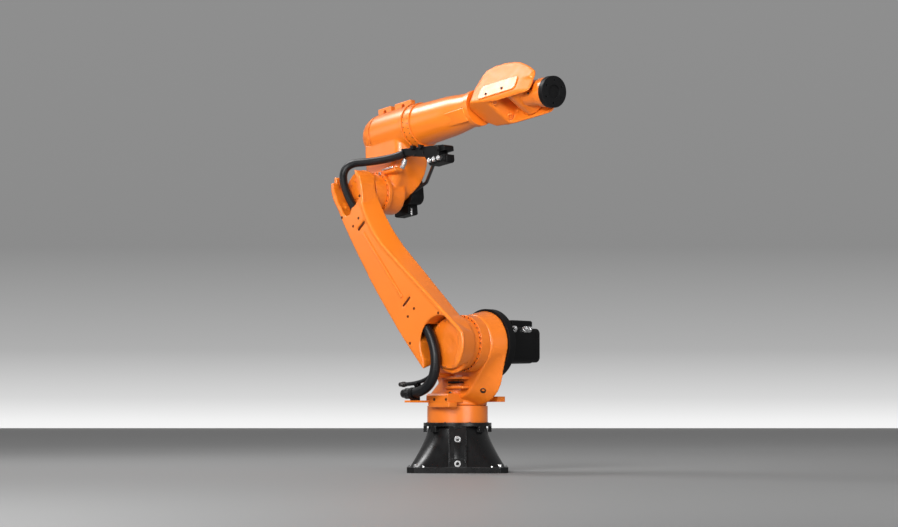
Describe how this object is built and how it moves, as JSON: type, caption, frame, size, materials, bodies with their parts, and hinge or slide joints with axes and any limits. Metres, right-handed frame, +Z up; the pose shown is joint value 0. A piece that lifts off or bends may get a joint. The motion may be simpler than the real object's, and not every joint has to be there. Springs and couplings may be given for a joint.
{
  "type": "industrial robot arm",
  "caption": "Floor-standing jointed industrial robot arm: flared pedestal, turning column, open-ended link arm, long forearm and forked wrist with a round tool flange.",
  "frame": {"origin": "middle of the pedestal's underside, on the floor and on the upright turning axis", "axes": "+Z up, +X to the right in the picture, +Y away from the camera; the pedestal is square to X and Y"},
  "size_m": [1.0641, 0.9875, 1.8223],
  "materials": {
    "orange_paint": "satin paint",
    "black_gloss_paint": "gloss paint",
    "black_matt_paint": "matt paint",
    "hose_rubber": "ribbed sleeve",
    "bright_steel": "machined"
  },
  "bodies": {
    "base": {"base_casting": "black_gloss_paint", "base_bushings": "bright_steel", "base_top_ring": "black_gloss_paint", "rear_connector_box": "black_gloss_paint"},
    "column": {"column_neck": "orange_paint", "column_casting": "orange_paint", "stop_lug": "orange_paint", "hose_tray": "orange_paint", "shoulder_gear_stage": "orange_paint", "shoulder_motor_disc": "black_matt_paint", "shoulder_motor": "black_matt_paint", "shoulder_motor_box": "black_matt_paint", "turn_motor": "black_matt_paint", "lower_hose_clamp": "black_matt_paint", "lower_hose": "hose_rubber", "lower_cable": "hose_rubber"},
    "link_arm": {"link_arm_casting": "orange_paint", "lower_hub_plate": "orange_paint", "upper_hub_plate": "orange_paint", "upper_hose": "hose_rubber"},
    "elbow": {"elbow_casting": "orange_paint", "elbow_rear_dome": "orange_paint", "elbow_top_lugs": "orange_paint", "elbow_gear_stage": "orange_paint", "elbow_bearing_ring": "orange_paint", "elbow_motor": "black_matt_paint", "elbow_motor_box": "black_matt_paint", "elbow_motor_conduit": "hose_rubber", "supply_bracket": "black_matt_paint", "supply_plugs": "bright_steel"},
    "forearm": {"forearm_ring": "orange_paint", "forearm_tube": "orange_paint", "wrist_collar": "orange_paint", "wrist_housing": "orange_paint", "wrist_cover_near": "orange_paint", "wrist_cover_far": "orange_paint"},
    "hand": {"wrist_hand": "orange_paint", "wrist_pins": "orange_paint", "hand_adapter": "orange_paint"},
    "flange": {"tool_flange": "black_matt_paint"}
  },
  "joints": [
    {"name": "base_turn", "type": "hinge", "parent": "base", "child": "column", "pos_m": [0, 0, 0], "axis": [0, 0, 1], "range_deg": [-229, 141]},
    {"name": "shoulder_swing", "type": "hinge", "parent": "column", "child": "link_arm", "pos_m": [0.12157, -0.12588, 0.575], "axis": [0.7193, 0.6947, 0], "range_deg": [-9.5, 125.5], "deforming": ["lower_hose", "lower_cable"]},
    {"name": "elbow_swing", "type": "hinge", "parent": "link_arm", "child": "elbow", "pos_m": [-0.30702, 0.31793, 1.29739], "axis": [-0.7193, -0.6947, 0], "range_deg": [-30.7, 244.3], "deforming": ["upper_hose"]},
    {"name": "forearm_roll", "type": "hinge", "parent": "elbow", "child": "forearm", "pos_m": [-0.32893, 0.34062, 1.58768], "axis": [0.6906, -0.7151, 0.108], "range_deg": [-320, 380]},
    {"name": "wrist_nod", "type": "hinge", "parent": "forearm", "child": "hand", "pos_m": [0.30158, -0.3123, 1.68628], "axis": [0.6605, 0.5627, -0.4971], "range_deg": [-138.1, 111.9]},
    {"name": "flange_turn", "type": "hinge", "parent": "hand", "child": "flange", "pos_m": [0.30158, -0.3123, 1.68628], "axis": [0.6058, -0.7905, -0.0899], "range_deg": [-350, 350]}
  ]
}
